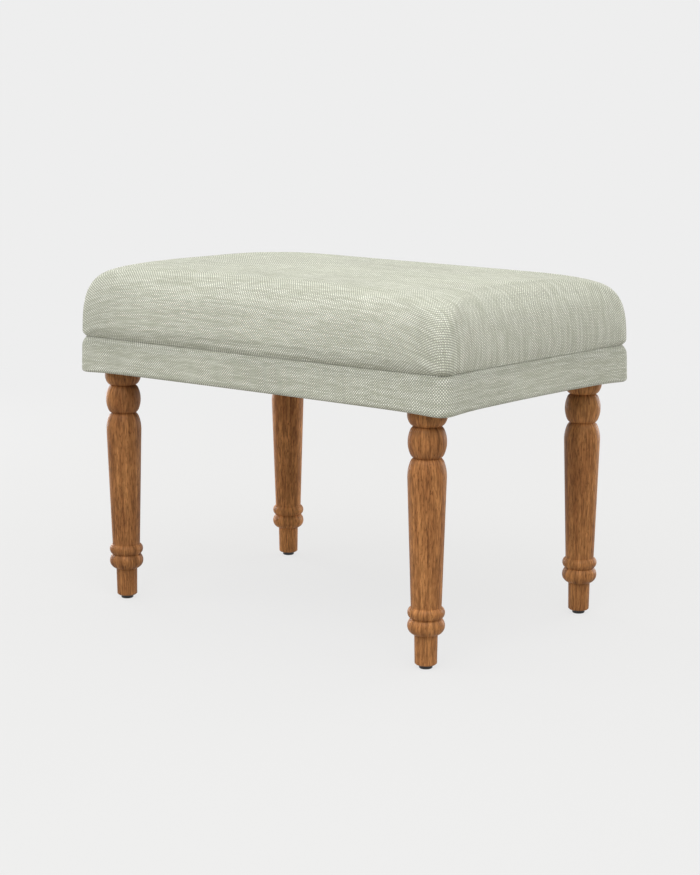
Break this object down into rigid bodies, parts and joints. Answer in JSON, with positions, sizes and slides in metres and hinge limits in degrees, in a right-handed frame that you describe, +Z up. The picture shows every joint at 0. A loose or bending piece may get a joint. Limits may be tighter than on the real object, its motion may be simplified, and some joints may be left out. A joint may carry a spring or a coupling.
{
  "type": "upholstered bench",
  "caption": "Padded rectangular bench seat with a plain border band on turned wooden legs with small floor glides, to sit or rest feet on.",
  "frame": {"origin": "on the floor, under the middle of the seat", "axes": "+X along the long side of the seat, -Y to the front, +Z up"},
  "size_m": [0.61, 0.393, 0.4544],
  "materials": {
    "leg_wood": "satin stained turned wood",
    "glide_plastic": "black moulded plastic",
    "steel_wire": "drawn wire",
    "zinc_steel": "zinc plated",
    "frame_wood": "sawn, unfinished",
    "webbing_jute": "woven strap",
    "deck_hessian": "plain open weave",
    "seat_foam": "cut open-cell foam",
    "fibre_wadding": "lofted polyester fibre",
    "tack_card": "grey-brown card",
    "cover_fabric": "slubby plain weave",
    "dust_cloth": "thin black nonwoven"
  },
  "bodies": {
    "root": {"leg_front_left": "leg_wood", "leg_front_right": "leg_wood", "leg_back_left": "leg_wood", "leg_back_right": "leg_wood", "glide_front_left": "glide_plastic", "glide_front_right": "glide_plastic", "glide_back_left": "glide_plastic", "glide_back_right": "glide_plastic", "glide_nails": "steel_wire", "webbing_staples": "steel_wire", "dust_cover_staples": "steel_wire", "hanger_bolts": "zinc_steel", "tee_nuts": "zinc_steel", "corner_post_front_left": "frame_wood", "corner_post_front_right": "frame_wood", "corner_post_back_left": "frame_wood", "corner_post_back_right": "frame_wood", "front_rail": "frame_wood", "back_rail": "frame_wood", "left_rail": "frame_wood", "right_rail": "frame_wood", "rail_dowels": "frame_wood", "webbing_long_front": "webbing_jute", "webbing_long_middle": "webbing_jute", "webbing_long_back": "webbing_jute", "webbing_cross_far_left": "webbing_jute", "webbing_cross_left": "webbing_jute", "webbing_cross_middle": "webbing_jute", "webbing_cross_right": "webbing_jute", "webbing_cross_far_right": "webbing_jute", "deck_cloth": "deck_hessian", "foam_core": "seat_foam", "fibre_wrap": "fibre_wadding", "rail_padding": "fibre_wadding", "tack_strip_front": "tack_card", "tack_strip_back": "tack_card", "tack_strip_left": "tack_card", "tack_strip_right": "tack_card", "seat_cover": "cover_fabric", "border_band": "cover_fabric", "dust_cover": "dust_cloth"}
  },
  "joints": []
}
